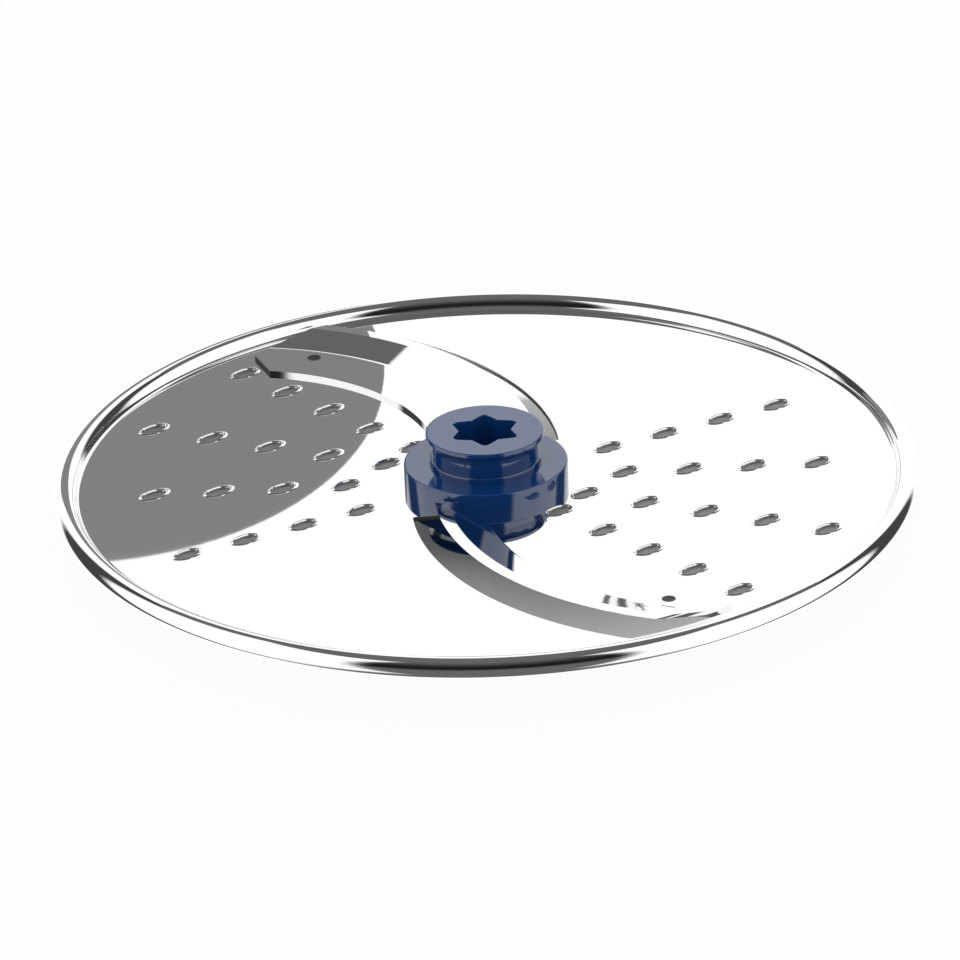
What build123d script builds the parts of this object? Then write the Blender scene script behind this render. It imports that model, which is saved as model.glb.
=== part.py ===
from build123d import *
import os
from math import acos, atan2, cos, degrees, hypot, radians, sin, sqrt, tan

# Sheet disc and its curled rim
disc_diameter = 175.0
sheet_thickness = 1.0
rim_bead_diameter = 3.9
rim_bead_rise = 0.5
rim_bend_radius = 2.0
rim_curl_end_angle = 210.0

# Raised pips pressed into the sheet, in straight rows that run out from the hub
pip_length = 7.0
pip_width = 3.9
pip_height = 0.9
pip_turn = 43.0
pip_row_angles = (26.6, 1.7, -23.2, -48.1)
pip_row_starts = (28.2, 28.2, 21.75, 21.75)
pip_row_rim_gaps = (20.3, 20.3, 13.75, 13.75)
pip_row_counts = (4, 4, 5, 5)

# Bent blades: every edge is an arc about one axis beside the hub
blade_axis_x = 53.4
blade_axis_y = -11.5
blade_thickness = 0.8
blade_tail_radius = 43.3
blade_bend_radius = 54.5
blade_edge_radius = 64.0
blade_rise_angle = 15.0
blade_bevel_width = 2.6
blade_edge_land = 0.08
blade_inner_bend = 1.5
blade_start_angle = 184.0
blade_sweep_limit = 90.0
blade_rim_gap = 8.7
blade_tail_end_gap = 9.2
blade_tail_cut_angle = -68.0
blade_tongue_depth = 3.0
blade_tongue_lead = 16.0
blade_tongue_overlap = 20.0

# Slots that let the slices fall through, one ahead of each blade
slot_mouth = 4.6
slot_corner_hub_gap = 6.0
slot_hub_margin = 1.6
slot_blade_gap = 0.7
slot_corner_radius = 0.5

# Countersunk rivets that hold the outer end of each blade
rivet_head_diameter = 3.2
rivet_shank_diameter = 2.2
rivet_sink_depth = 0.6
rivet_tail_diameter = 3.8
rivet_tail_height = 0.6
rivet_bend_gap = 3.0
rivet_end_gap = 9.7
rivet_clearance = 0.05

# Moulded hub, the same above and below the sheet
hub_height = 22.6
hub_flange_diameter = 33.2
hub_flange_height = 4.1
hub_collar_diameter = 22.6
hub_collar_height = 1.1
hub_neck_diameter = 21.3
hub_lip_diameter = 24.0
hub_lip_height = 0.8
hub_flare_height = 2.3
hub_edge_radius = 0.35
hub_core_across_flats = 18.6
hub_pocket_clearance = 0.1

# Star socket for the drive shaft, through the hub
star_lobes = 6
star_tip_diameter = 15.4
star_root_diameter = 10.4
star_tip_radius = 0.9
star_root_radius = 0.4
star_turn = 90.0

disc_radius = disc_diameter / 2
half_sheet = sheet_thickness / 2
half_turns = (0.0, 180.0)
hub_flange_radius = hub_flange_diameter / 2
blade_seat = half_sheet + blade_thickness
blade_reach = disc_radius - blade_rim_gap
slot_reach = blade_reach + slot_blade_gap
pip_half_width = pip_width / 2
pip_radius = (pip_half_width ** 2 + pip_height ** 2) / (2 * pip_height)
through = hub_height * 2


def ring(outer_radius, inner_radius):
    """A tall tube about the hub axis, used to trim what lies inside or outside a circle."""
    return Cylinder(outer_radius, through) - Cylinder(inner_radius, through)


def sweep_about_blade_axis(profile, start_angle, arc):
    """Turn a profile of (radius, height) about the blade axis."""
    start = radians(start_angle)
    section = Plane(
        origin=(blade_axis_x, blade_axis_y, 0),
        x_dir=(cos(start), sin(start), 0),
        z_dir=(sin(start), -cos(start), 0),
    )
    axis = Axis((blade_axis_x, blade_axis_y, 0), (0, 0, 1))
    return revolve(section * profile, axis, arc)


def on_blade_arc(radius, angle):
    """The point at a radius and an angle about the blade axis."""
    turn = radians(angle)
    return blade_axis_x + radius * cos(turn), blade_axis_y + radius * sin(turn)


def blade_arc_angle(radius, hub_distance):
    """The angle at which an arc about the blade axis, going out, is this far from the hub axis."""
    offset = hypot(blade_axis_x, blade_axis_y)
    swing = acos((hub_distance ** 2 - offset ** 2 - radius ** 2) / (2 * offset * radius))
    return degrees(atan2(blade_axis_y, blade_axis_x) - swing)


def box_profile(inner_radius, outer_radius, bottom, top):
    """A rectangle of (radius, height)."""
    outline = Polyline(
        (inner_radius, bottom), (outer_radius, bottom),
        (outer_radius, top), (inner_radius, top), close=True,
    )
    return make_face(outline)


def sheet_with_rim():
    """The round sheet, bent up and curled over into a bead at its edge."""
    bead_radius = rim_bead_diameter / 2
    bead_x = disc_radius - bead_radius
    bead = (bead_x, rim_bead_rise)
    bend_middle = rim_bend_radius + half_sheet
    drop = bend_middle - rim_bead_rise
    span = sqrt((bend_middle + bead_radius - half_sheet) ** 2 - drop ** 2)
    bend = (bead_x - span, bend_middle)
    join_angle = degrees(atan2(drop, span))
    bend_arc = 90 - join_angle
    curl_arc = 180 - join_angle + 360 - rim_curl_end_angle

    bend_top = CenterArc(bend, rim_bend_radius, -90, bend_arc)
    bead_outside = CenterArc(bead, bead_radius, 180 - join_angle, -curl_arc)
    bead_inside = CenterArc(bead, bead_radius - sheet_thickness, rim_curl_end_angle, curl_arc)
    bend_bottom = CenterArc(bend, rim_bend_radius + sheet_thickness, -join_angle, -bend_arc)
    outline = [
        Line((0, -half_sheet), (0, half_sheet)),
        Line((0, half_sheet), bend_top @ 0),
        bend_top,
        bead_outside,
        Line(bead_outside @ 1, bead_inside @ 0),
        bead_inside,
        bend_bottom,
        Line(bend_bottom @ 1, (0, -half_sheet)),
    ]
    return revolve(Plane.XZ * make_face(outline), Axis.Z)


def pip_places():
    """Where the pips stand, with the second half of the disc a half turn from the first."""
    places = []
    rows = zip(pip_row_angles, pip_row_starts, pip_row_rim_gaps, pip_row_counts)
    for angle, start, rim_gap, count in rows:
        pitch = (disc_radius - rim_gap - start) / (count - 1)
        for step in range(count):
            radius = start + step * pitch
            for half_turn in half_turns:
                turn = radians(angle + half_turn)
                places.append(Pos(radius * cos(turn), radius * sin(turn)) * Rot(0, 0, pip_turn))
    return places


def pip_capsule(radius):
    """A capsule sunk in the sheet, so that its back stands out as one domed oval pip."""
    half_run = (pip_length - pip_width) / 2
    outline = [
        CenterArc((half_run, 0), radius, 0, 90),
        Line((half_run, radius), (-half_run, radius)),
        CenterArc((-half_run, 0), radius, 90, 90),
        Line((-half_run - radius, 0), (half_run + radius, 0)),
    ]
    depth = pip_radius - pip_height - half_sheet
    return Pos(0, 0, -depth) * revolve(make_face(outline), Axis.X)


def slot():
    """The opening ahead of the first blade."""
    front = blade_edge_radius + slot_mouth
    profile = box_profile(blade_bend_radius, front, -sheet_thickness, sheet_thickness)
    start = blade_arc_angle(front, hub_flange_radius + slot_corner_hub_gap)
    opening = sweep_about_blade_axis(profile, start, blade_sweep_limit)
    opening = opening & ring(slot_reach, hub_flange_radius + slot_hub_margin)
    return fillet(opening.edges().filter_by(Axis.Z), slot_corner_radius)


def rivet_place():
    """The axis of the first rivet, at the middle of the sheet."""
    arc_radius = blade_bend_radius - rivet_bend_gap
    angle = blade_arc_angle(arc_radius, blade_reach - rivet_end_gap)
    return Pos(*on_blade_arc(arc_radius, angle))


def rivet(clearance=0.0):
    """A rivet flush with the blade and headed over under the sheet."""
    shank = rivet_shank_diameter / 2 + clearance
    head = rivet_head_diameter / 2 + clearance
    tail = rivet_tail_diameter / 2 + clearance
    sink = blade_seat - rivet_sink_depth
    foot = -half_sheet - rivet_tail_height
    outline = Polyline(
        (0, foot), (tail - rivet_tail_height / 2, foot), (tail, -half_sheet), (shank, -half_sheet),
        (shank, sink), (head, blade_seat), (0, blade_seat), close=True,
    )
    return rivet_place() * revolve(Plane.XZ * make_face(outline), Axis.Z)


def blade():
    """The first blade: a flat foot on the sheet, bent up to a bevelled cutting edge."""
    slope = tan(radians(blade_rise_angle))
    bend_under = blade_bend_radius + blade_thickness * tan(radians(blade_rise_angle / 2))
    ridge_radius = blade_edge_radius - blade_bevel_width
    edge_z = half_sheet + (blade_edge_radius - bend_under) * slope
    ridge_z = blade_seat + (ridge_radius - blade_bend_radius) * slope
    outline = Polyline(
        (blade_tail_radius, half_sheet), (bend_under, half_sheet), (blade_edge_radius, edge_z),
        (blade_edge_radius, edge_z + blade_edge_land), (ridge_radius, ridge_z),
        (blade_bend_radius, blade_seat), (blade_tail_radius, blade_seat), close=True,
    )
    profile = make_face(outline)
    top_bend = profile.vertices().sort_by_distance((blade_bend_radius, blade_seat))[0]
    profile = fillet(top_bend, blade_inner_bend)
    under_bend = profile.vertices().sort_by_distance((bend_under, half_sheet))[0]
    profile = fillet(under_bend, blade_inner_bend + blade_thickness)
    wing = sweep_about_blade_axis(profile, blade_start_angle, blade_sweep_limit)
    wing = wing & ring(blade_reach, hub_flange_radius + hub_pocket_clearance)

    tongue = tongue_strip(blade_tail_radius, blade_bend_radius - blade_inner_bend, blade_seat)
    tongue = tongue & ring(blade_reach, hub_flange_radius - blade_tongue_depth)
    tail_angle = blade_arc_angle(blade_tail_radius, blade_reach - blade_tail_end_gap)
    tail_end = on_blade_arc(blade_tail_radius, tail_angle)
    tail_cut = Pos(*tail_end) * Rot(0, 0, blade_tail_cut_angle)
    beyond = (Align.CENTER, Align.MIN, Align.CENTER)
    waste = tail_cut * Box(disc_diameter, disc_diameter, through, align=beyond)
    return wing + tongue - waste - rivet(rivet_clearance)


def tongue_strip(inner_radius, outer_radius, top):
    """The flat strip of the blade's foot that runs in under the hub flange."""
    profile = box_profile(inner_radius, outer_radius, half_sheet, top)
    start = blade_start_angle - blade_tongue_lead
    return sweep_about_blade_axis(profile, start, blade_tongue_lead + blade_tongue_overlap)


def hub_half():
    """The upper half of the hub, from the sheet to the rim of the star socket."""
    flange_top = half_sheet + hub_flange_height
    collar_top = flange_top + hub_collar_height
    top = hub_height / 2
    lip_bottom = top - hub_lip_height
    flare_bottom = lip_bottom - hub_flare_height
    collar_radius = hub_collar_diameter / 2
    neck_radius = hub_neck_diameter / 2
    lip_radius = hub_lip_diameter / 2
    lower = Polyline(
        (0, half_sheet), (hub_flange_radius, half_sheet), (hub_flange_radius, flange_top),
        (collar_radius, flange_top), (collar_radius, collar_top), (neck_radius, collar_top),
        (neck_radius, flare_bottom),
    )
    flare = TangentArc((neck_radius, flare_bottom), (lip_radius, lip_bottom), tangent=(0, 1))
    upper = Polyline((lip_radius, lip_bottom), (lip_radius, top), (0, top), (0, half_sheet))
    profile = make_face([*lower.edges(), flare, *upper.edges()])
    soft_corners = ((hub_flange_radius, flange_top), (collar_radius, collar_top), (lip_radius, top))
    for corner in soft_corners:
        vertex = profile.vertices().sort_by_distance(corner)[0]
        profile = fillet(vertex, hub_edge_radius)
    return revolve(Plane.XZ * profile, Axis.Z)


def star(height):
    """The star socket as a solid, with rounded tips and roots."""
    points = []
    for step in range(star_lobes * 2):
        diameter = star_root_diameter if step % 2 else star_tip_diameter
        turn = radians(star_turn + step * 180 / star_lobes)
        points.append((diameter / 2 * cos(turn), diameter / 2 * sin(turn)))
    outline = make_face(Polyline(*points, close=True))
    corners = outline.vertices().sort_by_distance((0, 0))
    outline = fillet(corners[star_lobes:], star_tip_radius)
    roots = outline.vertices().sort_by_distance((0, 0))[:star_lobes]
    outline = fillet(roots, star_root_radius)
    return Pos(0, 0, -height / 2) * extrude(outline, height)


def core(height):
    """The six-sided middle of the hub that fills the hole in the sheet and turns with it."""
    hexagon = RegularPolygon(hub_core_across_flats / 2, 6, major_radius=False)
    return Pos(0, 0, -height / 2) * extrude(hexagon, height)


def hub():
    """The one-piece hub, moulded through the sheet with the blade tongues in its flange."""
    upper = hub_half()
    lower = mirror(upper, Plane.XY)
    pocket = tongue_strip(
        blade_tail_radius - hub_pocket_clearance,
        blade_bend_radius - blade_inner_bend + hub_pocket_clearance,
        blade_seat + hub_pocket_clearance,
    )
    pocket_end = hub_flange_radius - blade_tongue_depth - hub_pocket_clearance
    pocket = pocket & ring(hub_flange_diameter, pocket_end)
    pockets = [Rot(0, 0, half_turn) * pocket for half_turn in half_turns]
    return upper + lower + core(sheet_thickness) - star(through) - pockets


def disc_plate():
    """The sheet with its pips, slots, rivet holes and hub hole."""
    above = Pos(0, 0, through / 2) * Box(through, through, through)
    crown = pip_capsule(pip_radius) & above
    hollow = pip_capsule(pip_radius - sheet_thickness)
    plate = sheet_with_rim() + [place * crown for place in pip_places()]
    plate = plate - [place * hollow for place in pip_places()]
    cuts = [slot(), rivet(rivet_clearance)]
    plate = plate - [Rot(0, 0, half_turn) * cut for half_turn in half_turns for cut in cuts]
    return plate - core(through)


stand = Pos(0, 0, hub_height / 2)
first_blade = blade()
pieces = {
    "disc_plate": disc_plate(),
    "front_blade": first_blade,
    "rear_blade": Rot(0, 0, 180) * first_blade,
    "blade_rivets": Compound([Rot(0, 0, half_turn) * rivet() for half_turn in half_turns]),
    "hub": hub(),
}
os.makedirs("parts", exist_ok=True)
for name, piece in pieces.items():
    export_step(stand * piece, f"parts/{name}.step")
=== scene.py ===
from math import acos, atan2, ceil, cos, hypot, pi, radians, sin, sqrt, tan

import bmesh
import bpy
from bpy.props import FloatProperty, FloatVectorProperty, IntProperty, IntVectorProperty, PointerProperty
from mathutils import Matrix, Vector
from mathutils.geometry import delaunay_2d_cdt


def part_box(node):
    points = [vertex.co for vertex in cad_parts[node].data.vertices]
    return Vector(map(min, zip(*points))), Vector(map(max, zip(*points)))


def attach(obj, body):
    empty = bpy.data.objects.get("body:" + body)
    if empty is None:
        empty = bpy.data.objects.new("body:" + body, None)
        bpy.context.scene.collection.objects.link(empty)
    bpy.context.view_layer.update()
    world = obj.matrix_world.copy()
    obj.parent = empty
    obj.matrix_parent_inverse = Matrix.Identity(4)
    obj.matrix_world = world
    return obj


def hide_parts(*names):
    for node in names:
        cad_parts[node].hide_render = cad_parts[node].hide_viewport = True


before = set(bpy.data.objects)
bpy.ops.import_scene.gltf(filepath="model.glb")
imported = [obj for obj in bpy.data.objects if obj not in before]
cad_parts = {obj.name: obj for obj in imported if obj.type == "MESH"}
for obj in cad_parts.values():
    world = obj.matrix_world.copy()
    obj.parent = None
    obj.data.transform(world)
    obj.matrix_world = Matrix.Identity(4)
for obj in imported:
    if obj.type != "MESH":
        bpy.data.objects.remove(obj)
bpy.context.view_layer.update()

bl_info = {
    "name": "Food processor disc",
    "version": (1, 0, 0),
    "blender": (4, 5, 0),
    "location": "3D View > Sidebar > Disc",
    "description": "Builds a slicing disc of polished steel with a plastic hub, around its packed solids",
    "category": "Add Mesh",
}

MM = 0.001
BODY = "root"

# Points closer than this are the same point of a mesh
WELD = 0.0001 * MM
# Epsilon and output type of the flat fill, which gives triangles over all the outlines
FILL_EPSILON = 1e-9
FILL_TRIANGLES = 1
# A face whose normal is this upright is level
LEVEL = 0.999999

# Shares of a pip's reach, from its middle to its foot, at which its levels are set
PIP_SHARES = (0.0, 0.4, 0.62, 0.7, 0.78, 0.86, 0.93, 1.0)


# Settings

def length(name, description, millimetres):
    """A property for a size, given in millimetres and kept in metres."""
    return FloatProperty(
        name=name, description=description, default=millimetres * MM, unit="LENGTH", precision=5
    )


def angle(name, description, in_degrees):
    """A property for an angle."""
    return FloatProperty(name=name, description=description, default=radians(in_degrees), subtype="ANGLE")


def colour(name, description, default):
    """A property for a linear colour."""
    return FloatVectorProperty(
        name=name, description=description, default=default, size=3, min=0.0, max=1.0, subtype="COLOR"
    )


def brightness(name, description, default):
    """A property for a brightness, where one is white."""
    return FloatProperty(name=name, description=description, default=default, min=0.0)


class SheetSizes(bpy.types.PropertyGroup):
    """Sizes of the round sheet, its curled rim and its slots."""

    thickness: length("Thickness", "Thickness of the steel sheet", 1.0)
    bead: length("Bead", "Diameter of the curled rim", 4.3)
    bead_rise: length("Bead rise", "Height of the bead's middle above the sheet's middle", 0.7)
    bend: length("Bend", "Radius of the bend between the sheet and the bead", 1.2)
    curl_end: angle("Curl end", "Where the curl of the bead ends", 210.0)
    edge: length("Edge", "Rounding of the cut edges", 0.12)
    slot_mouth: length("Slot mouth", "Width of the opening ahead of the cutting edge", 4.6)
    slot_corner_gap: length("Slot corner gap", "Distance from the hub flange to the slot's front corner", 6.0)
    slot_hub_gap: length("Slot hub gap", "Least distance from the hub flange to the slot", 1.6)
    slot_blade_gap: length("Slot blade gap", "How far the slot runs out past the blade", 0.7)
    slot_corner: length("Slot corner", "Radius of the slot's corners", 0.5)
    segments: IntProperty(name="Segments", description="Steps around the rim", default=360, min=60)


class PipSizes(bpy.types.PropertyGroup):
    """Sizes and places of the oval pips, each a hollow with a raised lip."""

    overall: length("Length", "Length of a pip over its lip", 7.5)
    width: length("Width", "Width of a pip over its lip", 4.3)
    levels: FloatVectorProperty(
        name="Levels", size=len(PIP_SHARES), unit="LENGTH", precision=5,
        description="Heights across a pip, from the middle of its hollow over its lip to its foot",
        default=[level * MM for level in (-0.34, -0.34, -0.33, -0.26, 0.08, 0.18, 0.1, 0.0)],
    )
    shift: length("Shift", "How far the middle of the hollow lies from the middle of the foot", -0.8)
    turn: angle("Turn", "Turn of each pip in the sheet", 40.0)
    pitch: length("Pitch", "Distance from pip to pip along a row", 13.0)
    row_angles: FloatVectorProperty(
        name="Row angles", description="Direction of each row on one half of the disc", size=4,
        unit="ROTATION", default=[radians(row) for row in (26.6, 1.7, -23.2, -48.1)],
    )
    row_starts: FloatVectorProperty(
        name="Row starts", description="Distance of each row's first pip from the hub axis", size=4,
        unit="LENGTH", precision=5, default=[start * MM for start in (28.2, 28.2, 21.75, 21.75)],
    )
    row_counts: IntVectorProperty(
        name="Row counts", description="Pips in each row", size=4, default=(4, 4, 5, 5)
    )


class BladeSizes(bpy.types.PropertyGroup):
    """Sizes of the two bent blades and of their rivets. Every long edge is an arc about the blade axis."""

    axis: FloatVectorProperty(
        name="Axis", description="Where the blade axis stands in the sheet", size=2, subtype="XYZ_LENGTH",
        default=(53.4 * MM, -11.5 * MM),
    )
    thickness: length("Thickness", "Thickness of a blade", 0.8)
    tail: length("Tail radius", "Radius of the trailing edge", 43.3)
    bend: length("Bend radius", "Radius of the line where the blade bends up", 54.5)
    edge: length("Edge radius", "Radius of the cutting edge", 64.0)
    rise: angle("Rise", "Slope of the blade ahead of the bend", 15.0)
    bevel: length("Bevel", "Width of the ground bevel", 2.6)
    land: length("Land", "Thickness left at the cutting edge", 0.08)
    inner_bend: length("Inner bend", "Radius inside the bend", 1.5)
    start: angle("Start", "Angle of the blade's inner end about its axis", 184.0)
    rim_gap: length("Rim gap", "Distance from the outer end to the outside of the rim", 8.7)
    tail_end_gap: length("Tail end gap", "Distance from the end of the trailing edge to the outer end", 9.2)
    tail_cut: angle("Tail cut", "Direction of the slanting cut at the outer end", -68.0)
    tongue: length("Tongue", "How far the foot runs in under the hub flange", 3.0)
    rivet_bend_gap: length("Rivet bend gap", "Distance from the rivet to the bend", 3.0)
    rivet_end_gap: length("Rivet end gap", "Distance from the rivet to the outer end", 9.7)
    rivet_head: length("Rivet head", "Diameter of the flush rivet head", 2.8)
    rivet_shank: length("Rivet shank", "Diameter of the rivet's shank", 2.2)
    rivet_sink: length("Rivet sink", "Depth of the rivet's countersink", 0.6)
    rivet_rise: length("Rivet rise", "How far the rim of the rivet's head stands out of the blade", 0.04)
    rivet_dish: length("Rivet dish", "Depth of the hollow in the rivet's head", 0.03)
    rivet_tail: length("Rivet tail", "Diameter of the rivet's tail under the sheet", 3.8)
    rivet_tail_height: length("Rivet tail height", "Height of the rivet's tail", 0.6)


class HubSizes(bpy.types.PropertyGroup):
    """Sizes of the plastic hub, which is the same above and below the sheet."""

    flange: length("Flange", "Diameter of the flange", 33.2)
    flange_height: length("Flange height", "Height of the flange above the sheet", 4.1)
    collar: length("Collar", "Diameter of the step on the flange", 22.6)
    collar_height: length("Collar height", "Height of the step on the flange", 1.1)
    neck: length("Neck", "Diameter of the knob's waist", 21.3)
    lip: length("Lip", "Diameter of the knob's rim", 24.0)
    lip_height: length("Lip height", "Height of the knob's rim", 0.8)
    flare_height: length("Flare height", "Height of the flare under the rim", 2.3)
    edge: length("Edge", "Rounding of the outer edges", 0.35)
    socket_edge: length("Socket edge", "Rounding of the socket's rim", 0.15)
    core: length("Core", "Width across the flats of the six-sided core", 18.6)
    star_tip: length("Star tip", "Diameter over the star's points before rounding", 15.4)
    star_root: length("Star root", "Diameter over the star's roots before rounding", 10.4)
    star_tip_radius: length("Star tip radius", "Rounding of the star's points", 0.9)
    star_root_radius: length("Star root radius", "Rounding of the star's roots", 0.4)
    star_lobes: IntProperty(name="Star lobes", description="Points of the star socket", default=6, min=3)


class Finishes(bpy.types.PropertyGroup):
    """Colours of the steel and the plastic."""

    steel: colour("Steel", "Colour of the polished sheet", (0.90, 0.90, 0.90))
    # Painted shade: this darker colour is painted into the pip hollows and the hole walls, as the shade that
    # falls in them
    dull_steel_and_painted_shade: colour("Dull steel", "Colour of the sheet where it isn't polished", (0.30, 0.30, 0.30))
    blade: colour("Blade", "Colour of the blades", (0.88, 0.88, 0.88))
    rivet: colour("Rivet", "Colour of the rivets", (0.03, 0.03, 0.032))
    plastic: colour("Plastic", "Colour of the hub", (0.004, 0.036, 0.15))


class StageSettings(bpy.types.PropertyGroup):
    """Where the camera stands and how bright the studio is."""

    camera_height: angle("Camera height", "How far the camera looks down", 25.52)
    camera_roll: angle("Camera roll", "Turn of the picture", -2.082)
    camera_distance: length("Camera distance", "Distance from the camera to the disc", 1829.5)
    lens: FloatProperty(name="Lens", description="Focal length in millimetres", default=338.9, unit="CAMERA")
    shift_x: FloatProperty(name="Shift X", description="Sideways shift of the picture", default=-0.00667)
    shift_y: FloatProperty(name="Shift Y", description="Upward shift of the picture", default=-0.001875)
    white: brightness("White", "Brightness of the studio's white walls in the metal", 1.15)
    daylight: brightness("Daylight", "Even light on the object", 0.9)
    card_place: FloatVectorProperty(
        name="Card place", description="Middle of the grey card, from the hub axis and the top of the sheet",
        size=3, subtype="XYZ_LENGTH", default=(-95.0 * MM, 220.0 * MM, 77.0 * MM),
    )
    card_size: FloatVectorProperty(
        name="Card size", description="Half width and half height of the grey card", size=2,
        subtype="XYZ_LENGTH", default=(72.7 * MM, 46.0 * MM),
    )
    card_grey: brightness("Card grey", "Brightness of the grey card", 0.24)
    # Painted shade: a dark card under the disc, which the metal mirrors in place of the floor
    under_reach: length("Under reach", "Radius of the shaded floor that the lower knob mirrors", 60.0)
    under_painted_shade: brightness("Under grey", "Brightness of the shaded floor in reflections", 0.02)


def sheet_middle():
    """Height of the sheet's middle plane, halfway up the hub."""
    low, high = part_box("hub")
    return (low.z + high.z) / 2


def disc_radius():
    """Radius over the rim."""
    low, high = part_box("disc_plate")
    return min(high.x - low.x, high.y - low.y) / 2


# Outlines: lists of (x, y) points that run counter-clockwise

def between(start, end, steps):
    """Evenly spaced values from a start to an end."""
    return [start + (end - start) * step / steps for step in range(steps + 1)]


def arc_points(centre, radius, start, end, steps):
    """Points on an arc, from one angle to another."""
    turns = between(start, end, steps)
    return [(centre[0] + radius * cos(turn), centre[1] + radius * sin(turn)) for turn in turns]


def circle(radius, steps, centre=(0.0, 0.0)):
    """A round outline."""
    return arc_points(centre, radius, 0.0, 2 * pi, steps)[:-1]


def rounded(corners, steps):
    """An outline with straight sides between (x, y, radius) corners, each rounded by an arc."""
    outline = []
    for place, (x, y, radius) in enumerate(corners):
        corner = Vector((x, y))
        before = (Vector(corners[place - 1][:2]) - corner).normalized()
        after = (Vector(corners[(place + 1) % len(corners)][:2]) - corner).normalized()
        half = before.angle(after) / 2
        middle = corner + (before + after).normalized() * radius / sin(half)
        first = corner + before * radius / tan(half) - middle
        last = corner + after * radius / tan(half) - middle
        for turn in between(0.0, -first.angle_signed(last), steps):
            outline.append(tuple(middle + Matrix.Rotation(turn, 2) @ first))
    return outline


def along(outline, spacing):
    """An outline with points added so that no side is longer than a spacing."""
    dense = []
    for place, start in enumerate(outline):
        end = outline[(place + 1) % len(outline)]
        steps = max(1, ceil(hypot(end[0] - start[0], end[1] - start[1]) / spacing))
        for step in range(steps):
            share = step / steps
            dense.append((start[0] + (end[0] - start[0]) * share, start[1] + (end[1] - start[1]) * share))
    return dense


def grown(outline, distance):
    """An outline moved outward along its own normals."""
    moved = []
    for place, (x, y) in enumerate(outline):
        before = outline[place - 1]
        after = outline[(place + 1) % len(outline)]
        run = Vector((after[0] - before[0], after[1] - before[1])).normalized()
        moved.append((x + run.y * distance, y - run.x * distance))
    return moved


def turned(outline, turn, move=(0.0, 0.0)):
    """An outline turned about the hub axis, then moved."""
    return [
        (x * cos(turn) - y * sin(turn) + move[0], x * sin(turn) + y * cos(turn) + move[1]) for x, y in outline
    ]


def at_height(outline, height):
    """The points of an outline at a height."""
    return [(x, y, height) for x, y in outline]


# Meshes

def add_loft(bm, rings, closed=False):
    """Join rings of equally many points with four-sided faces."""
    rows = [[bm.verts.new(point) for point in ring] for ring in rings]
    pairs = list(zip(rows, rows[1:]))
    if closed:
        pairs.append((rows[-1], rows[0]))
    for near, far in pairs:
        for place in range(len(near)):
            after = (place + 1) % len(near)
            bm.faces.new((near[place], near[after], far[after], far[place]))


def add_flat(bm, outlines, height):
    """Fill the flat between an outer outline, which comes first, and the holes in it."""
    points = [Vector(point) for outline in outlines for point in outline]
    loops = []
    for outline in outlines:
        first = sum(len(loop) for loop in loops)
        loops.append(range(first, first + len(outline)))
    corners, _, triangles, _, _, owners = delaunay_2d_cdt(points, [], loops, FILL_TRIANGLES, FILL_EPSILON)
    verts = [bm.verts.new((corner.x, corner.y, height)) for corner in corners]
    for triangle, owner in zip(triangles, owners):
        if owner == [0]:
            bm.faces.new([verts[place] for place in triangle])


def object_from(bm, name, material):
    """An object of the scene, made from a finished mesh and one material."""
    mesh = bpy.data.meshes.new(name)
    bm.to_mesh(mesh)
    bm.free()
    mesh.materials.append(material)
    made = bpy.data.objects.new(name, mesh)
    bpy.context.scene.collection.objects.link(made)
    return made


def piece_from(bm, name, node, material, sharp):
    """Weld a mesh, shade it smooth but for level faces and sharp edges, and let it stand for its node."""
    bmesh.ops.remove_doubles(bm, verts=bm.verts, dist=WELD)
    bmesh.ops.dissolve_degenerate(bm, edges=bm.edges, dist=WELD)
    bmesh.ops.recalc_face_normals(bm, faces=bm.faces)
    for face in bm.faces:
        face.smooth = abs(face.normal.z) < LEVEL
    for side in bm.edges:
        if len(side.link_faces) == 2:
            side.smooth = side.calc_face_angle() < sharp
    piece = object_from(bm, name, material)
    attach(piece, BODY)
    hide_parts(node)


# Sheet

SHARP = radians(30.0)
HALF_TURNS = (0.0, pi)
EDGE_STEPS = 3
BEND_STEPS = 12
BEAD_STEPS = 40
CORE_SIDES = 6
HOLE_SPACING = 0.8 * MM
HOLE_STEPS = 24
SLOT_SIDE_STEPS = 60
SLOT_END_STEPS = 12
CORNER_STEPS = 6
CORNER_ANGLE = radians(25.0)
PIP_STEPS = 36
PIP_RINGS = 20


def rim_profile(sheet):
    """(radius, height) points of the curl, from the top of the flat over the bead to the underside."""
    half = sheet.thickness / 2
    bead_radius = sheet.bead / 2
    bead = (disc_radius() - bead_radius, sheet.bead_rise)
    bend_middle = sheet.bend + half
    drop = bend_middle - sheet.bead_rise
    span = sqrt((bend_middle + bead_radius - half) ** 2 - drop ** 2)
    bend = (bead[0] - span, bend_middle)
    join = atan2(drop, span)
    curl_end = sheet.curl_end - 2 * pi
    top = arc_points(bend, sheet.bend, -pi / 2, -join, BEND_STEPS)
    outside = arc_points(bead, bead_radius, pi - join, curl_end, BEAD_STEPS)
    inside = arc_points(bead, bead_radius - sheet.thickness, curl_end, pi - join, BEAD_STEPS)
    bottom = arc_points(bend, sheet.bend + sheet.thickness, -join, -pi / 2, BEND_STEPS)
    return top + outside + inside + bottom


def blade_angle_at(blade, radius, reach):
    """Angle about the blade axis where an arc of a radius crosses a circle about the hub axis."""
    offset = hypot(*blade.axis)
    heading = atan2(blade.axis[1], blade.axis[0])
    swing = acos((reach ** 2 - offset ** 2 - radius ** 2) / (2 * offset * radius))
    return 2 * pi - swing + heading


def on_blade_arc(blade, radius, turn):
    """The point at a radius and an angle about the blade axis."""
    return blade.axis[0] + radius * cos(turn), blade.axis[1] + radius * sin(turn)


def blade_reach(blade):
    """Distance of a blade's outer end from the hub axis."""
    return disc_radius() - blade.rim_gap


def rivet_place(blade):
    """Where the first rivet stands."""
    radius = blade.bend - blade.rivet_bend_gap
    turn = blade_angle_at(blade, radius, blade_reach(blade) - blade.rivet_end_gap)
    return on_blade_arc(blade, radius, turn)


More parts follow.
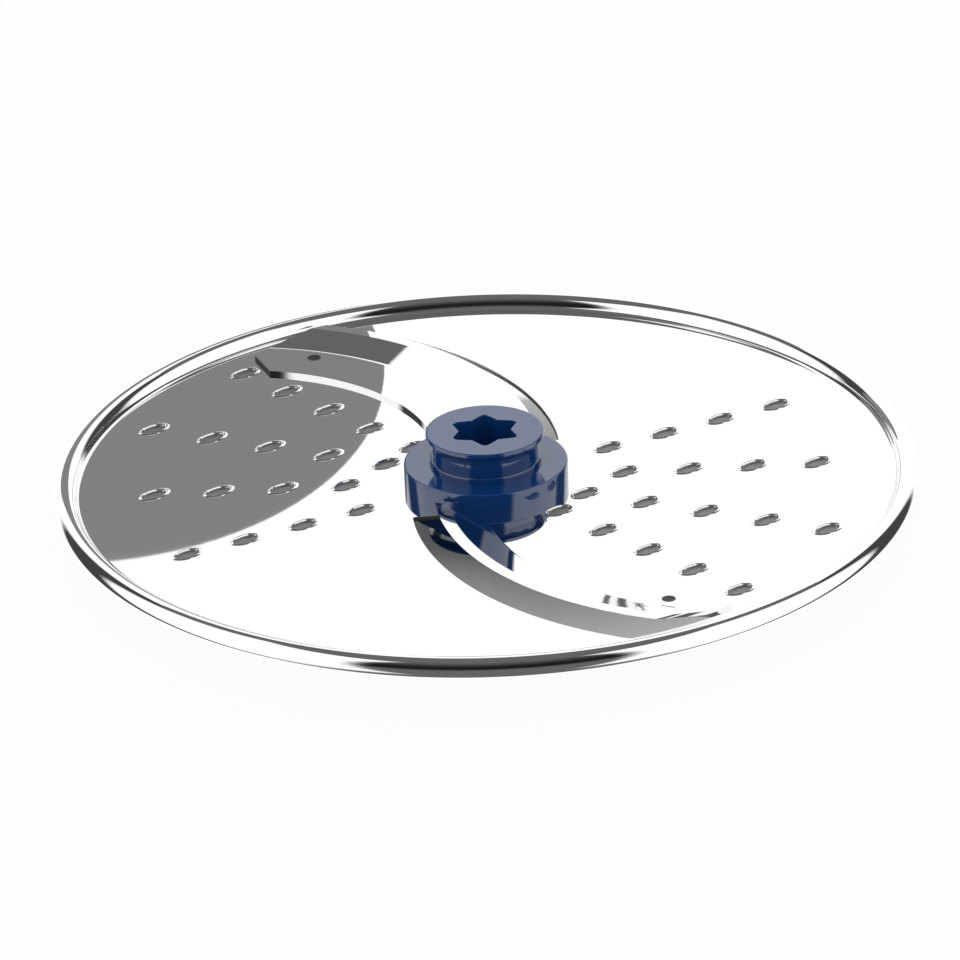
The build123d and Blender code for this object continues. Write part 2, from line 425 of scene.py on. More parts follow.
def slot_outline(sheet, blade, hub):
    """The opening ahead of the first blade, with square corners."""
    inner = blade.bend
    outer = blade.edge + sheet.slot_mouth
    flange = hub.flange / 2
    first = blade_angle_at(blade, outer, flange + sheet.slot_corner_gap)
    reach = blade_reach(blade) + sheet.slot_blade_gap

    def start_at(radius):
        return max(first, blade_angle_at(blade, radius, flange + sheet.slot_hub_gap))

    def end_at(radius):
        return blade_angle_at(blade, radius, reach)

    def side(radius):
        return [(radius, turn) for turn in between(start_at(radius), end_at(radius), SLOT_SIDE_STEPS)]

    inward = between(outer, inner, SLOT_END_STEPS)[1:-1]
    outer_end = [(radius, end_at(radius)) for radius in inward]
    inner_end = [(radius, start_at(radius)) for radius in reversed(inward)]
    outline = side(outer) + outer_end + side(inner)[::-1] + inner_end
    return [on_blade_arc(blade, radius, turn) for radius, turn in outline]


def eased(outline, radius):
    """An outline with its sharp corners cut back by a radius and rounded."""
    points = [Vector(point) for point in outline]
    back = [(points[place - 1] - point).normalized() for place, point in enumerate(points)]
    ahead = [-direction for direction in back[1:] + back[:1]]
    corners = [
        place for place in range(len(points)) if (-back[place]).angle(ahead[place]) > CORNER_ANGLE
    ]
    result = []
    for place, point in enumerate(points):
        if place in corners:
            start = point + back[place] * radius
            end = point + ahead[place] * radius
            for share in between(0.0, 1.0, CORNER_STEPS):
                result.append(tuple(start.lerp(point, share).lerp(point.lerp(end, share), share)))
        elif all((points[corner] - point).length >= radius for corner in corners):
            result.append(tuple(point))
    return result


def add_hole_wall(bm, outline, edge, middle, thickness):
    """The wall of a hole in the sheet, with rounded edges. Gives the outline where it meets the flats."""
    turns = between(0.0, pi / 2, EDGE_STEPS)
    rings = []
    for side in (1, -1):
        for turn in turns[::side]:
            height = middle + side * (thickness / 2 - edge * (1 - cos(turn)))
            rings.append(at_height(grown(outline, edge * (1 - sin(turn))), height))
    add_loft(bm, rings)
    return grown(outline, edge)


def pip_slope(levels, place):
    """Rise of a pip's levels at one of its shares."""
    if place == 0:
        return 0.0
    after = min(place + 1, len(PIP_SHARES) - 1)
    return (levels[after] - levels[place - 1]) / (PIP_SHARES[after] - PIP_SHARES[place - 1])


def pip_level(levels, share):
    """Height of a pip at a share of its reach, on a smooth curve through its levels."""
    place = next(step for step in range(len(PIP_SHARES) - 1) if share <= PIP_SHARES[step + 1])
    span = PIP_SHARES[place + 1] - PIP_SHARES[place]
    part = (share - PIP_SHARES[place]) / span
    leave = part * (1 - part) ** 2 * span * pip_slope(levels, place)
    arrive = part ** 2 * (part - 1) * span * pip_slope(levels, place + 1)
    blend = part ** 2 * (3 - 2 * part)
    return levels[place] + (levels[place + 1] - levels[place]) * blend + leave + arrive


def pip_places(pip):
    """The middle of each pip, with the second half of the disc a half turn from the first."""
    places = []
    for heading, start, count in zip(pip.row_angles, pip.row_starts, pip.row_counts):
        for step in range(count):
            radius = start + step * pip.pitch
            for half_turn in HALF_TURNS:
                places.append((radius * cos(heading + half_turn), radius * sin(heading + half_turn)))
    return places


def add_pip(bm, pip, place, base):
    """One oval pip in a face of the sheet. Gives the outline of its foot."""
    half_length, half_width = pip.overall / 2, pip.width / 2
    unit = circle(1.0, PIP_STEPS)
    rings = []
    for share in between(1.0, 0.0, PIP_RINGS):
        off = pip.shift * (1 - share)
        ring = [(off + half_length * share * x, half_width * share * y) for x, y in unit]
        rings.append(at_height(turned(ring, pip.turn, place), base + pip_level(pip.levels, share)))
    add_loft(bm, rings)
    return [point[:2] for point in rings[0]]


def core_hole(hub):
    """The outline of the hub's core in the sheet."""
    reach = hub.core / 2 / cos(pi / CORE_SIDES)
    return along(circle(reach, CORE_SIDES), HOLE_SPACING)


class DISC_OT_sheet(bpy.types.Operator):
    """Make the polished sheet with its curled rim, pips and slots"""

    bl_idname = "disc.sheet"
    bl_label = "Sheet"

    def execute(self, context):
        sheet = context.scene.disc_sheet
        pip = context.scene.disc_pip
        blade = context.scene.disc_blade
        hub = context.scene.disc_hub
        middle = sheet_middle()
        half = sheet.thickness / 2
        bm = bmesh.new()

        profile = rim_profile(sheet)
        rim = [at_height(circle(radius, sheet.segments), middle + height) for radius, height in profile]
        add_loft(bm, rim)
        upper = [circle(profile[0][0], sheet.segments)]
        lower = [circle(profile[-1][0], sheet.segments)]

        slot = eased(slot_outline(sheet, blade, hub), sheet.slot_corner)
        rivet = circle(blade.rivet_shank / 2, HOLE_STEPS, rivet_place(blade))
        holes = [turned(outline, half_turn) for outline in (slot, rivet) for half_turn in HALF_TURNS]
        for hole in (*holes, core_hole(hub)):
            meeting = add_hole_wall(bm, hole, sheet.edge, middle, sheet.thickness)
            upper.append(meeting)
            lower.append(meeting)

        for place in pip_places(pip):
            upper.append(add_pip(bm, pip, place, middle + half))
            lower.append(add_pip(bm, pip, place, middle - half))
        add_flat(bm, upper, middle + half)
        add_flat(bm, lower, middle - half)
        piece_from(bm, "polished_sheet", "disc_plate", polished_steel(context), SHARP)
        return {"FINISHED"}


# Blades

BLADE_STEPS = 96
BLADE_SHARP = radians(8.0)
POCKET_GAP = 0.1 * MM
RIVET_STEPS = 40
DISH_STEPS = 4
# How far the finely divided strip reaches before and after the bend
BEND_BEFORE = 0.5 * MM
BEND_AFTER = 1.1 * MM
# Width of the step at the side of the tongue
TONGUE_STEP = 0.02 * MM
# Steps across the foot, the tongue's side, the rest of the foot, the bend, the slope and the bevel
BLADE_COUNTS = (8, 1, 1, 10, 6, 4)


def blade_radii(blade):
    """Radii across a blade, from the trailing edge to the cutting edge, with one at every corner."""
    tongue_side = blade.bend - blade.inner_bend
    stops = (
        blade.tail, tongue_side, tongue_side + TONGUE_STEP, blade.bend - BEND_BEFORE, blade.bend + BEND_AFTER,
        blade.edge - blade.bevel, blade.edge,
    )
    radii = [blade.tail]
    for start, end, count in zip(stops, stops[1:], BLADE_COUNTS):
        radii.extend(between(start, end, count)[1:])
    return radii


def bent(run, slope, radius):
    """Height of a line that bends up from level to a slope over a rounded bend, at a run past the bend."""
    half = radius * tan(slope / 2)
    if run <= -half:
        return 0.0
    if run >= half * cos(slope):
        return run * tan(slope)
    return radius - sqrt(radius ** 2 - (run + half) ** 2)


def blade_heights(blade, half_sheet, radius):
    """Heights of a blade's underside and top at a radius, from the middle of the sheet."""
    under_bend = blade.bend + blade.thickness * tan(blade.rise / 2)
    ridge = blade.edge - blade.bevel
    under = half_sheet + bent(radius - under_bend, blade.rise, blade.inner_bend + blade.thickness)
    seat = half_sheet + blade.thickness
    if radius <= ridge:
        return under, seat + bent(radius - blade.bend, blade.rise, blade.inner_bend)
    ridge_height = seat + (ridge - blade.bend) * tan(blade.rise)
    edge_height = half_sheet + (blade.edge - under_bend) * tan(blade.rise) + blade.land
    share = (radius - ridge) / blade.bevel
    return under, ridge_height + (edge_height - ridge_height) * share


def blade_span(blade, hub, radius):
    """Angles about the blade axis where a blade starts and ends at a radius."""
    flange = hub.flange / 2
    if radius <= blade.bend - blade.inner_bend:
        start = blade_angle_at(blade, radius, flange - blade.tongue)
    else:
        start = max(blade.start, blade_angle_at(blade, radius, flange + POCKET_GAP))
    reach = blade_reach(blade)
    across = blade.tail_cut + pi / 2
    tail_end = blade_angle_at(blade, blade.tail, reach - blade.tail_end_gap)
    cut = blade.tail / radius * cos(tail_end - across)
    cut_end = across + 2 * pi - acos(cut)
    return start, min(cut_end, blade_angle_at(blade, radius, reach))


def blade_mesh(blade, hub, sheet, half_turn):
    """A bent blade on the sheet, as a top and an underside joined along their edges."""
    bm = bmesh.new()
    middle = sheet_middle()
    under_lines, top_lines = [], []
    for radius in blade_radii(blade):
        under, top = blade_heights(blade, sheet.thickness / 2, radius)
        turns = between(*blade_span(blade, hub, radius), BLADE_STEPS)
        line = turned([on_blade_arc(blade, radius, turn) for turn in turns], half_turn)
        under_lines.append(at_height(line, middle + under))
        top_lines.append(at_height(line, middle + top))
    low = [[bm.verts.new(point) for point in line] for line in under_lines]
    high = [[bm.verts.new(point) for point in line] for line in top_lines]
    for surface in (low, high):
        for near, far in zip(surface, surface[1:]):
            for step in range(BLADE_STEPS):
                bm.faces.new((near[step], near[step + 1], far[step + 1], far[step]))
    for edge in (0, -1):
        for step in range(BLADE_STEPS):
            bm.faces.new((low[edge][step], low[edge][step + 1], high[edge][step + 1], high[edge][step]))
    for end in (0, -1):
        for row in range(len(low) - 1):
            bm.faces.new((low[row][end], low[row + 1][end], high[row + 1][end], high[row][end]))
    return bm


class DISC_OT_blades(bpy.types.Operator):
    """Make the two bent blades"""

    bl_idname = "disc.blades"
    bl_label = "Blades"

    def execute(self, context):
        blade = context.scene.disc_blade
        hub = context.scene.disc_hub
        sheet = context.scene.disc_sheet
        finish = blade_steel(context)
        for name, half_turn in zip(("front", "rear"), HALF_TURNS):
            bm = blade_mesh(blade, hub, sheet, half_turn)
            piece_from(bm, f"{name}_cutting_blade", f"{name}_blade", finish, BLADE_SHARP)
        return {"FINISHED"}


def rivet_profile(blade, sheet):
    """(radius, height) points of a rivet, from the middle of its dished head to the middle of its tail."""
    half = sheet.thickness / 2
    seat = half + blade.thickness
    rise = seat + blade.rivet_rise
    shank = blade.rivet_shank / 2
    head = blade.rivet_head / 2
    tail = blade.rivet_tail / 2
    tail_bend = blade.rivet_tail_height / 2
    tail_end = -half - blade.rivet_tail_height
    dish_radius = head - blade.rivet_sink / 2
    dish = [
        (dish_radius * share, rise - blade.rivet_dish * (1 - share ** 2))
        for share in between(0.0, 1.0, DISH_STEPS)
    ]
    return dish + [
        (head - blade.rivet_rise, rise), (head, seat), (shank, seat - blade.rivet_sink), (shank, -half),
        (tail, -half), (tail, -half - tail_bend), (tail - tail_bend, tail_end), (0.0, tail_end),
    ]


class DISC_OT_rivets(bpy.types.Operator):
    """Make the flush rivets that hold the outer ends of the blades"""

    bl_idname = "disc.rivets"
    bl_label = "Rivets"

    def execute(self, context):
        blade = context.scene.disc_blade
        profile = rivet_profile(blade, context.scene.disc_sheet)
        place = rivet_place(blade)
        middle = sheet_middle()
        bm = bmesh.new()
        for half_turn in HALF_TURNS:
            rings = [
                at_height(turned(circle(radius, RIVET_STEPS, place), half_turn), middle + height)
                for radius, height in profile
            ]
            add_loft(bm, rings)
        piece_from(bm, "flush_rivets", "blade_rivets", dark_steel(context), SHARP)
        return {"FINISHED"}


# Hub

STAR_CORNER_STEPS = 6
STAR_SPACING = 0.3 * MM
FLARE_STEPS = 10
ROUND_STEPS = 5


def star_outline(hub):
    """The star socket, with rounded points and roots."""
    corners = []
    for step in range(hub.star_lobes * 2):
        turn = pi / 2 + step * pi / hub.star_lobes
        tip = step % 2 == 0
        reach = (hub.star_tip if tip else hub.star_root) / 2
        radius = hub.star_tip_radius if tip else hub.star_root_radius
        corners.append((reach * cos(turn), reach * sin(turn), radius))
    return along(rounded(corners, STAR_CORNER_STEPS), STAR_SPACING)


def hub_top():
    """Height of the hub above the sheet's middle."""
    low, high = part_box("hub")
    return (high.z - low.z) / 2


def hub_profile(hub, sheet):
    """(radius, height) points of the upper half of the hub, from the rim of the knob to the sheet."""
    half = sheet.thickness / 2
    top = hub_top()
    flange_top = half + hub.flange_height
    collar_top = flange_top + hub.collar_height
    flare_bottom = top - hub.lip_height - hub.flare_height
    lip, neck, collar, flange = hub.lip / 2, hub.neck / 2, hub.collar / 2, hub.flange / 2
    edge = hub.edge
    flare_out = lip - neck
    flare_radius = (flare_out ** 2 + hub.flare_height ** 2) / (2 * flare_out)
    flare_arc = 2 * atan2(flare_out, hub.flare_height)
    points = arc_points((lip - edge, top - edge), edge, pi / 2, 0.0, ROUND_STEPS)
    points += arc_points((neck + flare_radius, flare_bottom), flare_radius, pi - flare_arc, pi, FLARE_STEPS)
    points += [(neck, collar_top)]
    points += arc_points((collar - edge, collar_top - edge), edge, pi / 2, 0.0, ROUND_STEPS)
    points += [(collar, flange_top)]
    points += arc_points((flange - edge, flange_top - edge), edge, pi / 2, 0.0, ROUND_STEPS)
    points += [(flange, half)]
    return points


def core_reach(hub, heading):
    """Distance of the six-sided core's outside from the hub axis, in one direction."""
    flat = pi / CORE_SIDES
    return hub.core / 2 / cos((heading - flat) % (2 * flat) - flat)


class DISC_OT_hub(bpy.types.Operator):
    """Make the plastic hub with its star socket"""

    bl_idname = "disc.hub"
    bl_label = "Hub"

    def execute(self, context):
        hub = context.scene.disc_hub
        sheet = context.scene.disc_sheet
        middle = sheet_middle()
        top = hub_top()
        soft = hub.socket_edge
        star = star_outline(hub)
        headings = [atan2(y, x) for x, y in star]

        def ring_at(reaches):
            return [(reach * cos(heading), reach * sin(heading)) for reach, heading in zip(reaches, headings)]

        upper = [
            (grown(star, soft * (1 - sin(turn))), top - soft * (1 - cos(turn)))
            for turn in between(0.0, pi / 2, EDGE_STEPS)[::-1]
        ]
        for radius, height in hub_profile(hub, sheet):
            upper.append((ring_at([radius] * len(headings)), height))
        upper.append((ring_at([core_reach(hub, heading) for heading in headings]), sheet.thickness / 2))
        lower = [(ring, -height) for ring, height in reversed(upper)]
        rings = [at_height(ring, middle + height) for ring, height in upper + lower]
        bm = bmesh.new()
        add_loft(bm, rings, closed=True)
        piece_from(bm, "moulded_hub", "hub", blue_plastic(context), SHARP)
        return {"FINISHED"}


# Shader nodes

def feed(tree, socket, value):
    """Link the output of a node to a socket, or set a plain value on it."""
    if isinstance(value, bpy.types.NodeSocket):
        tree.links.new(value, socket)
    else:
        socket.default_value = value


def math(tree, operation, *values):
    """A math node on values and outputs of other nodes."""
    node = tree.nodes.new("ShaderNodeMath")
    node.operation = operation
    for place, value in enumerate(values):
        feed(tree, node.inputs[place], value)
    return node.outputs[0]


def fade(tree, value, ends, levels=(0.0, 1.0), interpolation="LINEAR"):
    """A level that runs from the first to the second as a value runs from one end to the other."""
    node = tree.nodes.new("ShaderNodeMapRange")
    node.interpolation_type = interpolation
    for label, given in zip(("Value", "From Min", "From Max", "To Min", "To Max"), (value, *ends, *levels)):
        feed(tree, node.inputs[label], given)
    return node.outputs["Result"]


def mixed(tree, factor, first, second, kind="FLOAT"):
    """A mix of two values, or of two colours."""
    node = tree.nodes.new("ShaderNodeMix")
    node.data_type = kind
    for label, given in zip(("Factor", "A", "B"), (factor, first, second)):
        feed(tree, node.inputs[label], given)
    return node.outputs["Result"]


def noise(tree, place, scale, detail):
    """Soft noise over the surface."""
    node = tree.nodes.new("ShaderNodeTexNoise")
    for label, given in zip(("Vector", "Scale", "Detail"), (place, scale, detail)):
        feed(tree, node.inputs[label], given)
    return node.outputs["Fac"]


def relief(tree, height, strength, depth):
    """Normals that follow a height over the surface."""
    node = tree.nodes.new("ShaderNodeBump")
    for label, given in zip(("Height", "Strength", "Distance"), (height, strength, depth)):
        feed(tree, node.inputs[label], given)
    return node.outputs["Normal"]


def object_place(tree):
    """Places on the surface, in the object's own frame."""
    return tree.nodes.new("ShaderNodeTexCoord").outputs["Object"]


def place_parts(tree, place):
    """The X, Y and Z of a place or a direction."""
    node = tree.nodes.new("ShaderNodeSeparateXYZ")
    feed(tree, node.inputs[0], place)
    return node.outputs


def distance_of(tree, place):
    """Distance of a place from the object's origin."""
    node = tree.nodes.new("ShaderNodeVectorMath")
    node.operation = "LENGTH"
    feed(tree, node.inputs[0], place)
    return node.outputs["Value"]


def fresh_material(name):
    """A new material, with its node tree and its Principled BSDF."""
    material = bpy.data.materials.new(name)
    material.use_nodes = True
    return material, material.node_tree, material.node_tree.nodes["Principled BSDF"]


# Finishes

# Hairlines run along one direction of the sheet
HAIRLINE_STRETCH = (0.06, 1.0, 1.0)
HAIRLINE_TURN = (0.0, 0.0, radians(34.0))
HAIRLINE_DETAIL = 3.0
HAIRLINE_DEPTH = 0.01 * MM
SMUDGE_DETAIL = 4.0
# Inputs of the polish marks, with their defaults
MARK_INPUTS = (("Hairline scale", 900.0), ("Smudge scale", 30.0), ("Base", 0.04), ("Spread", 0.03))
# For each steel: scale of the hairlines, roughness between the marks, what the marks add to it, and the
# strength of their relief
SHEET_MARKS = (900.0, 0.015, 0.02, 0.01)
BLADE_MARKS = (1400.0, 0.015, 0.02, 0.01)
RIVET_MARKS = (2200.0, 0.28, 0.2, 0.2)
# How deep under the faces of the sheet the rough skin with its painted shade begins, and where nothing of the
# polish is left
DULL_AND_SHADE_START = 0.02 * MM
DULL_AND_SHADE_FULL = 0.12 * MM
DULL_ROUGHNESS = 0.5
# The plastic's grain, and the clouds in its sheen and tint
GRAIN_SCALE = 2600.0
GRAIN_DETAIL = 2.0
GRAIN_STRENGTH = 0.06
GRAIN_DEPTH = 0.02 * MM
CLOUD_SCALE = 140.0
CLOUD_DETAIL = 3.0
CLOUD_SHEEN = (0.04, 0.10)
DEEP_TINT = (0.86, 0.9, 0.92)
PALE_TINT = (1.2, 1.12, 1.08)
PLASTIC_IOR = 1.9


def polish_marks():
    """Shader group: fine hairlines and faint smudges of handled, polished metal."""
    name = "Polish marks"
    if name in bpy.data.node_groups:
        return bpy.data.node_groups[name]
    group = bpy.data.node_groups.new(name, "ShaderNodeTree")
    for label, default in MARK_INPUTS:
        socket = group.interface.new_socket(label, in_out="INPUT", socket_type="NodeSocketFloat")
        socket.default_value = default
    for label in ("Roughness", "Height"):
        group.interface.new_socket(label, in_out="OUTPUT", socket_type="NodeSocketFloat")
    given = group.nodes.new("NodeGroupInput").outputs
    result = group.nodes.new("NodeGroupOutput").inputs
    place = object_place(group)
    stretch = group.nodes.new("ShaderNodeMapping")
    feed(group, stretch.inputs["Vector"], place)
    feed(group, stretch.inputs["Scale"], HAIRLINE_STRETCH)
    feed(group, stretch.inputs["Rotation"], HAIRLINE_TURN)
    hairline = noise(group, stretch.outputs["Vector"], given["Hairline scale"], HAIRLINE_DETAIL)
    smudge = noise(group, place, given["Smudge scale"], SMUDGE_DETAIL)
    marks = math(group, "MULTIPLY", hairline, smudge)
    feed(group, result["Roughness"], math(group, "MULTIPLY_ADD", marks, given["Spread"], given["Base"]))
    feed(group, result["Height"], hairline)
    return group


def steel_with_marks(name, tone, marks):
    """A metal whose roughness and relief follow the polish marks."""
    *levels, strength = marks
    material, tree, shader = fresh_material(name)
    group = tree.nodes.new("ShaderNodeGroup")
    group.node_tree = polish_marks()
    for label, level in zip(("Hairline scale", "Base", "Spread"), levels):
        group.inputs[label].default_value = level
    shader.inputs["Base Color"].default_value = (*tone, 1.0)
    shader.inputs["Metallic"].default_value = 1.0
    feed(tree, shader.inputs["Roughness"], group.outputs["Roughness"])
    feed(tree, shader.inputs["Normal"], relief(tree, group.outputs["Height"], strength, HAIRLINE_DEPTH))
    return material


def polished_steel(context):
    """Mirror-polished sheet steel. In the hollows and on the walls of the holes it is rougher, with a painted
    shade: its colour is darker there.
    """
    finish = context.scene.disc_finish
    sheet = context.scene.disc_sheet
    half = sheet.thickness / 2
    material = steel_with_marks("polished steel", finish.steel, SHEET_MARKS)
    tree = material.node_tree
    shader = tree.nodes["Principled BSDF"]
    place = object_place(tree)
    height = math(tree, "SUBTRACT", place_parts(tree, place)["Z"], sheet_middle())
    # Painted shade: below the faces of the sheet, inside the rim, the colour goes darker as well as rougher
    sunk = fade(tree, math(tree, "ABSOLUTE", height), (half - DULL_AND_SHADE_START, half - DULL_AND_SHADE_FULL))
    flat = math(tree, "LESS_THAN", distance_of(tree, place), disc_radius() - sheet.bead - sheet.bend)
    dull_and_painted_shade = math(tree, "MULTIPLY", sunk, flat)
    polish = shader.inputs["Roughness"].links[0].from_socket
    tone = mixed(tree, dull_and_painted_shade, (*finish.steel, 1.0), (*finish.dull_steel_and_painted_shade, 1.0), "RGBA")
    feed(tree, shader.inputs["Base Color"], tone)
    feed(tree, shader.inputs["Roughness"], mixed(tree, dull_and_painted_shade, polish, DULL_ROUGHNESS))
    return material


def blade_steel(context):
    """Blade steel, a little less bright than the sheet."""
    return steel_with_marks("blade steel", context.scene.disc_finish.blade, BLADE_MARKS)


def dark_steel(context):
    """Dull rivet steel."""
    return steel_with_marks("rivet steel", context.scene.disc_finish.rivet, RIVET_MARKS)


def blue_plastic(context):
    """Glossy moulded plastic, with a faint grain and an uneven sheen."""
    material, tree, shader = fresh_material("blue plastic")
    plastic = context.scene.disc_finish.plastic
    place = object_place(tree)
    grain = noise(tree, place, GRAIN_SCALE, GRAIN_DETAIL)
    cloud = noise(tree, place, CLOUD_SCALE, CLOUD_DETAIL)
    deep, pale = [
        (*(part * share for part, share in zip(plastic, tint)), 1.0) for tint in (DEEP_TINT, PALE_TINT)
    ]
    feed(tree, shader.inputs["Base Color"], mixed(tree, cloud, deep, pale, "RGBA"))
    feed(tree, shader.inputs["Roughness"], fade(tree, cloud, (0.0, 1.0), CLOUD_SHEEN))
    feed(tree, shader.inputs["Normal"], relief(tree, grain, GRAIN_STRENGTH, GRAIN_DEPTH))
    shader.inputs["IOR"].default_value = PLASTIC_IOR
    return material


# Stage

FLOOR_RADIUS = 3.0
FLOOR_STEPS = 96
FLOOR_COLOUR = (0.8, 0.8, 0.8, 1.0)
FLOOR_ROUGHNESS = 0.9
# The painted shade on the floor under the disc, and the open floor around it, as the camera sees them: the
# floor's glow ramps up from the axis to the first radius, then to the open floor's level by the second
FLOOR_SHADE = 60.0 * MM
FLOOR_OPEN = 66.0 * MM
FLOOR_PAINTED_SHADE_LEVEL = 0.25
FLOOR_OPEN_LEVEL = 0.95
CARD_STEPS = 96
CARD_LIFT = 0.05 * MM
CAMERA_CLIP = 10.0 * MM
SMOOTH = "SMOOTHSTEP"

# Studio cards in the reflections, in degrees: azimuth from the camera's side, half width and its softness,
# low edge and its softness, high edge and its softness, then the level
STUDIO_CARDS = {
    "ceiling": (0.0, 400.0, 1.0, 62.0, 1.0, 200.0, 1.0, 0.12),
    "back ceiling": (180.0, 66.0, 6.0, 45.7, 0.2, 200.0, 1.0, 0.12),
    "right back": (128.0, 14.0, 4.0, -200.0, 1.0, 45.7, 0.2, 0.05),
    "left back": (-128.0, 14.0, 4.0, -200.0, 1.0, 45.7, 0.2, 0.05),
    # Painted shade: the world below the disc is darkened all round, standing for the floor's shadow under it
    "painted ground shade": (0.0, 400.0, 1.0, -200.0, 1.0, -65.0, 8.0, 0.12),
    "camera side": (0.0, 36.0, 5.0, -200.0, 1.0, 200.0, 1.0, 0.12),
    "behind the camera": (0.0, 34.0, 4.0, -6.0, 12.0, 50.0, 32.0, 0.012),
}


def studio_level(tree):
    """Brightness of the studio in each direction: white, with the cards laid over it one by one."""
    direction = place_parts(tree, tree.nodes.new("ShaderNodeTexCoord").outputs["Generated"])
    toward_camera = math(tree, "MULTIPLY", direction["Y"], -1.0)
    azimuth = math(tree, "DEGREES", math(tree, "ARCTAN2", direction["X"], toward_camera))
    elevation = math(tree, "DEGREES", math(tree, "ARCSINE", direction["Z"]))
    level = 1.0
    for middle, half, side_soft, low, low_soft, high, high_soft, grey in STUDIO_CARDS.values():
        aside = math(tree, "WRAP", math(tree, "SUBTRACT", azimuth, middle), 180.0, -180.0)
        across = fade(
            tree, math(tree, "ABSOLUTE", aside), (half - side_soft, half + side_soft), (1.0, 0.0), SMOOTH
        )
        above = fade(tree, elevation, (low - low_soft, low + low_soft), (0.0, 1.0), SMOOTH)
        below = fade(tree, elevation, (high - high_soft, high + high_soft), (1.0, 0.0), SMOOTH)
        mask = math(tree, "MULTIPLY", math(tree, "MULTIPLY", across, above), below)
        level = mixed(tree, mask, level, grey)
    return level


def studio_world(stage):
    """White to the camera, even light on the object, and cards of grey in what the metal mirrors."""
    world = bpy.data.worlds.new("studio")
    world.use_nodes = True
    tree = world.node_tree
    tree.nodes.clear()
    path = tree.nodes.new("ShaderNodeLightPath").outputs
    mirrored = math(tree, "MULTIPLY", studio_level(tree), stage.white)
    unseen = mixed(tree, path["Is Glossy Ray"], stage.daylight, mirrored)
    seen = math(tree, "MAXIMUM", path["Is Camera Ray"], path["Is Transmission Ray"])
    background = tree.nodes.new("ShaderNodeBackground")
    background.inputs["Color"].default_value = (1.0, 1.0, 1.0, 1.0)
    feed(tree, background.inputs["Strength"], mixed(tree, seen, unseen, 1.0))
    output = tree.nodes.new("ShaderNodeOutputWorld")
    feed(tree, output.inputs["Surface"], background.outputs["Background"])
    bpy.context.scene.world = world


def floor_finish():
    """Pale floor: plain white in the open. Under the disc it keeps the real shadow that the disc throws, with
    a painted shade over it: a glow to the camera that grows from the axis out to the disc's edge.
    """
    material, tree, shader = fresh_material("pale floor")
    shader.inputs["Base Color"].default_value = FLOOR_COLOUR
    shader.inputs["Roughness"].default_value = FLOOR_ROUGHNESS
    distance = distance_of(tree, object_place(tree))
    # Painted shade: the camera sees a glow that rises with distance from the axis, so the shaded floor under
    # the disc looks lighter toward its edge
    shade = fade(tree, distance, (0.0, FLOOR_SHADE), (0.0, FLOOR_PAINTED_SHADE_LEVEL))
    clear = fade(tree, distance, (FLOOR_SHADE, FLOOR_OPEN), (0.0, FLOOR_OPEN_LEVEL), SMOOTH)
    path = tree.nodes.new("ShaderNodeLightPath")
    lit = math(tree, "MULTIPLY", math(tree, "MAXIMUM", shade, clear), path.outputs["Is Camera Ray"])
    glow = tree.nodes.new("ShaderNodeEmission")
    mix = tree.nodes.new("ShaderNodeMixShader")
    for place, given in enumerate((lit, shader.outputs["BSDF"], glow.outputs["Emission"])):
        feed(tree, mix.inputs[place], given)
    feed(tree, tree.nodes["Material Output"].inputs["Surface"], mix.outputs["Shader"])
    return material


def stage_piece(bm, name, material):
    """An object of the stage, which isn't part of the disc."""
    piece = object_from(bm, name, material)
    return piece


def add_floor():
    """The pale floor, which the metal doesn't mirror."""
    bm = bmesh.new()
    add_flat(bm, [circle(FLOOR_RADIUS, FLOOR_STEPS)], 0.0)
    floor = stage_piece(bm, "floor", floor_finish())
    floor.visible_glossy = False


def card_finish(name, level):
    """Plain grey for a card that shows only in reflections."""
    material, tree, _ = fresh_material(name)
    glow = tree.nodes.new("ShaderNodeEmission")
    glow.inputs["Strength"].default_value = level
    feed(tree, tree.nodes["Material Output"].inputs["Surface"], glow.outputs["Emission"])
    return material


def add_card(name, outline, level):
    """A flat card that shows only in reflections."""
    bm = bmesh.new()
    bm.faces.new([bm.verts.new(point) for point in outline])
    card = stage_piece(bm, name, card_finish(name, level))
    card.visible_camera = False
    card.visible_diffuse = False
    card.visible_shadow = False


def add_painted_shade_card(stage):
    """A painted shade under the disc: a dark card, which the underside and the lower knob mirror in place of
    the floor.
    """
    outline = circle(stage.under_reach, CARD_STEPS)
    add_card("painted_shade_card", at_height(outline, CARD_LIFT), stage.under_painted_shade)


def add_grey_card(stage, top):
    """A rounded grey card that stands behind the disc."""
    middle, half = stage.card_place, stage.card_size
    outline = [
        (middle[0] + half[0] * x, middle[1], top + middle[2] + half[1] * y)
        for x, y in circle(1.0, CARD_STEPS)
    ]
    add_card("grey_card", outline, stage.card_grey)


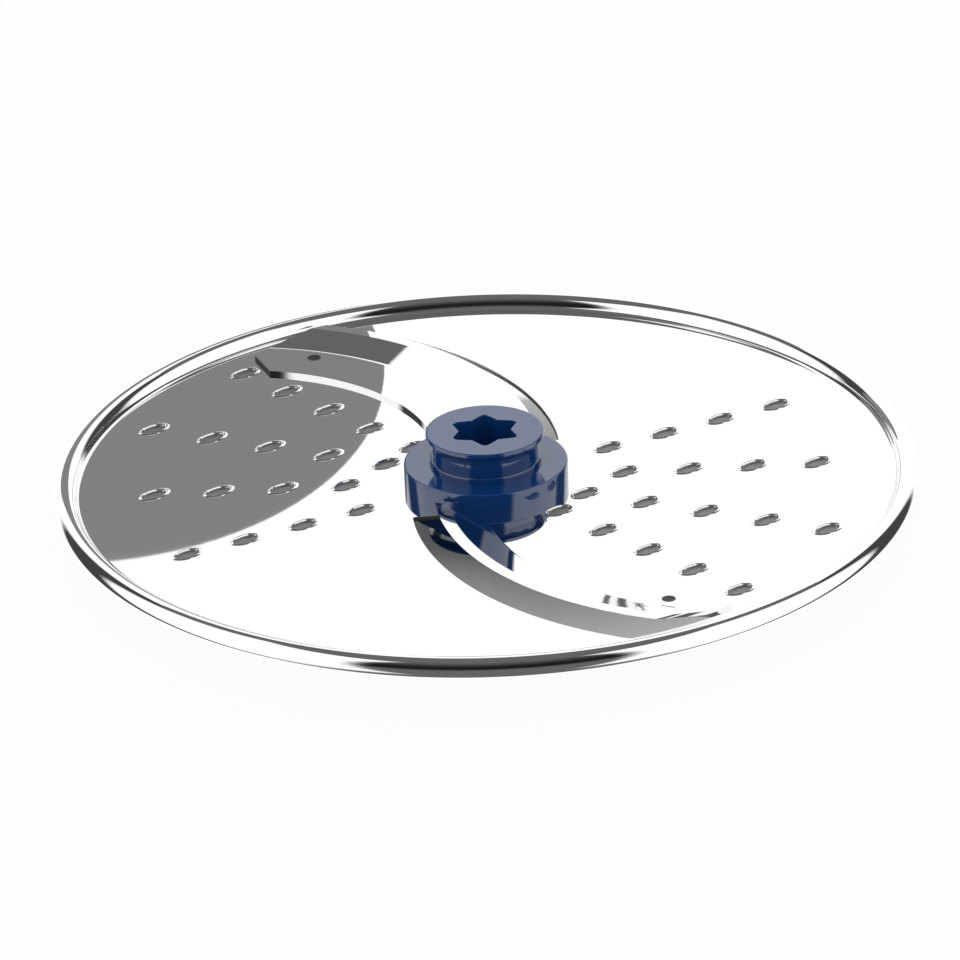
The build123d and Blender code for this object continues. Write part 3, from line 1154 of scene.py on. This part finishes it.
def add_camera(stage, top):
    """A camera that looks down at the middle of the sheet's top."""
    data = bpy.data.cameras.new("camera")
    data.lens = stage.lens
    data.shift_x = stage.shift_x
    data.shift_y = stage.shift_y
    data.clip_start = CAMERA_CLIP
    camera = bpy.data.objects.new("camera", data)
    bpy.context.scene.collection.objects.link(camera)
    forward = Vector((0.0, cos(stage.camera_height), -sin(stage.camera_height)))
    right = Vector((1.0, 0.0, 0.0))
    up = right.cross(forward)
    tilt = stage.camera_roll
    across = right * cos(tilt) + up * sin(tilt)
    upward = up * cos(tilt) - right * sin(tilt)
    pose = Matrix((across, upward, -forward)).transposed().to_4x4()
    pose.translation = Vector((0.0, 0.0, top)) - forward * stage.camera_distance
    camera.matrix_world = pose
    bpy.context.scene.camera = camera


class DISC_OT_stage(bpy.types.Operator):
    """Make the floor, the studio and the camera"""

    bl_idname = "disc.stage"
    bl_label = "Stage"

    def execute(self, context):
        stage = context.scene.disc_stage
        sheet_top = sheet_middle() + context.scene.disc_sheet.thickness / 2
        studio_world(stage)
        add_floor()
        add_painted_shade_card(stage)
        add_grey_card(stage, sheet_top)
        add_camera(stage, sheet_top)
        context.scene.view_settings.view_transform = "Standard"
        return {"FINISHED"}


class DISC_PT_panel(bpy.types.Panel):
    """Sizes, finishes and builders of the disc"""

    bl_idname = "DISC_PT_panel"
    bl_label = "Food processor disc"
    bl_space_type = "VIEW_3D"
    bl_region_type = "UI"
    bl_category = "Disc"

    def draw(self, context):
        for operator in OPERATORS:
            self.layout.operator(operator.bl_idname)
        for name, group in GROUPS.items():
            box = self.layout.box()
            for prop in group.__annotations__:
                box.prop(getattr(context.scene, name), prop)


GROUPS = {
    "disc_sheet": SheetSizes,
    "disc_pip": PipSizes,
    "disc_blade": BladeSizes,
    "disc_hub": HubSizes,
    "disc_finish": Finishes,
    "disc_stage": StageSettings,
}
OPERATORS = (DISC_OT_sheet, DISC_OT_blades, DISC_OT_rivets, DISC_OT_hub, DISC_OT_stage)


def register():
    """Register the classes and hang the settings on the scene."""
    for cls in (*GROUPS.values(), *OPERATORS, DISC_PT_panel):
        bpy.utils.register_class(cls)
    for name, group in GROUPS.items():
        setattr(bpy.types.Scene, name, PointerProperty(type=group))


def unregister():
    """Take the settings and the classes away again."""
    for name in GROUPS:
        delattr(bpy.types.Scene, name)
    for cls in (DISC_PT_panel, *reversed(OPERATORS), *reversed(GROUPS.values())):
        bpy.utils.unregister_class(cls)


def main():
    """Build every piece and the stage."""
    register()
    bpy.ops.disc.sheet()
    bpy.ops.disc.blades()
    bpy.ops.disc.rivets()
    bpy.ops.disc.hub()
    bpy.ops.disc.stage()
    bpy.context.view_layer.update()


if __name__ == "__main__":
    main()
